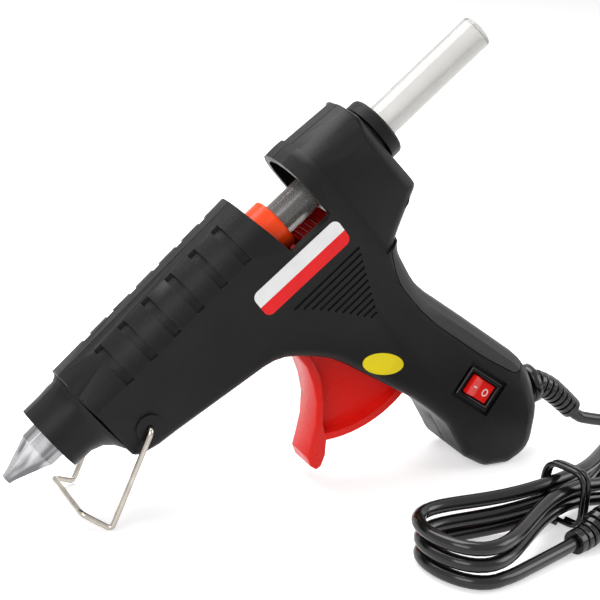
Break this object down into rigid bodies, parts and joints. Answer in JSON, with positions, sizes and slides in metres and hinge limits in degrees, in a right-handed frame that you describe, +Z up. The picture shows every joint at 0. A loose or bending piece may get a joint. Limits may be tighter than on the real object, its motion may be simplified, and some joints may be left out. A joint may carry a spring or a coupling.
{
  "type": "hot glue gun",
  "caption": "Hot melt glue gun for 11 mm sticks, with a finger trigger, a fold-out wire stand, a rocker switch and its mains cord in a hank.",
  "frame": {"origin": "on the table, under the middle of the gun's box without its cord, with the gun standing on its wire stand and the foot of its grip", "axes": "+X from the nozzle's end to the grip's end, along the table; +Z up; +Y to the gun's right side, away from the switch"},
  "size_m": [0.2807, 0.1131, 0.1515],
  "materials": {
    "black_plastic": "fine grained, worn",
    "soft_black": "soft, matte",
    "cord_black": "glossy",
    "red_plastic": "smooth",
    "orange_rubber": "smooth silicone",
    "clear_glue": "translucent",
    "aluminium": "machined",
    "steel": "nickel plated",
    "ceramic": "dry",
    "brass": "plain",
    "wire_red": "plain",
    "wire_blue": "plain"
  },
  "bodies": {
    "gun": {"casing_left": "black_plastic", "casing_right": "black_plastic", "grip_strap": "soft_black", "nozzle": "aluminium", "melt_chamber": "aluminium", "front_insulator": "ceramic", "heating_element": "ceramic", "element_clip": "steel", "inlet_sleeve": "orange_rubber", "sleeve_clamp": "steel", "rear_guide_ring": "black_plastic", "trigger_pin": "steel", "return_spring": "steel", "switch_body": "black_plastic", "wire_live": "wire_red", "wire_neutral": "wire_blue", "wire_switched": "wire_red", "strain_relief": "cord_black", "cord_lead": "cord_black", "cord_hank": "cord_black", "cord_tie": "cord_black", "plug_lead": "cord_black", "plug_strain_relief": "cord_black", "plug_body": "cord_black", "plug_pin_left": "brass", "plug_pin_right": "brass", "casing_screw_1": "steel", "casing_screw_2": "steel", "casing_screw_3": "steel", "casing_screw_4": "steel", "casing_screw_5": "steel"},
    "carriage": {"feed_carriage": "red_plastic", "drive_pin": "steel", "grip_lever_pin": "steel"},
    "lever": {"grip_lever": "steel"},
    "trigger": {"trigger": "red_plastic"},
    "stick": {"glue_stick": "clear_glue"},
    "stand": {"stand_wire": "steel"},
    "rocker": {"switch_rocker": "red_plastic"}
  },
  "joints": [
    {"name": "trigger_pull", "type": "hinge", "parent": "gun", "child": "trigger", "pos_m": [0.01222, 0, 0.05405], "axis": [0, -1, 0], "range_deg": [0, 26], "stiffness_Nm_per_rad": 0.5, "springref_deg": -17.19},
    {"name": "feed_slide", "type": "slide", "parent": "gun", "child": "carriage", "axis": [-0.749, 0, -0.6626], "range_m": [0, 0.0111]},
    {"name": "lever_bite", "type": "hinge", "parent": "carriage", "child": "lever", "pos_m": [0.01604, 0, 0.09561], "axis": [0, 1, 0], "range_deg": [0, 3.1]},
    {"name": "stick_slide", "type": "slide", "parent": "gun", "child": "stick", "axis": [-0.749, 0, -0.6626], "range_m": [-0.07, 0.045]},
    {"name": "stand_fold", "type": "hinge", "parent": "gun", "child": "stand", "pos_m": [-0.05213, 0, 0.03156], "axis": [0, -1, 0], "range_deg": [0, 118]},
    {"name": "rocker_tilt", "type": "hinge", "parent": "gun", "child": "rocker", "pos_m": [0.06601, -0.013, 0.03007], "axis": [-0.5461, 0, -0.8377], "range_deg": [0, 24]}
  ],
  "couplings": [
    {"joint": "feed_slide", "follows": "trigger_pull", "m_per_rad": 0.02443},
    {"joint": "lever_bite", "follows": "trigger_pull", "ratio": 0.115}
  ]
}
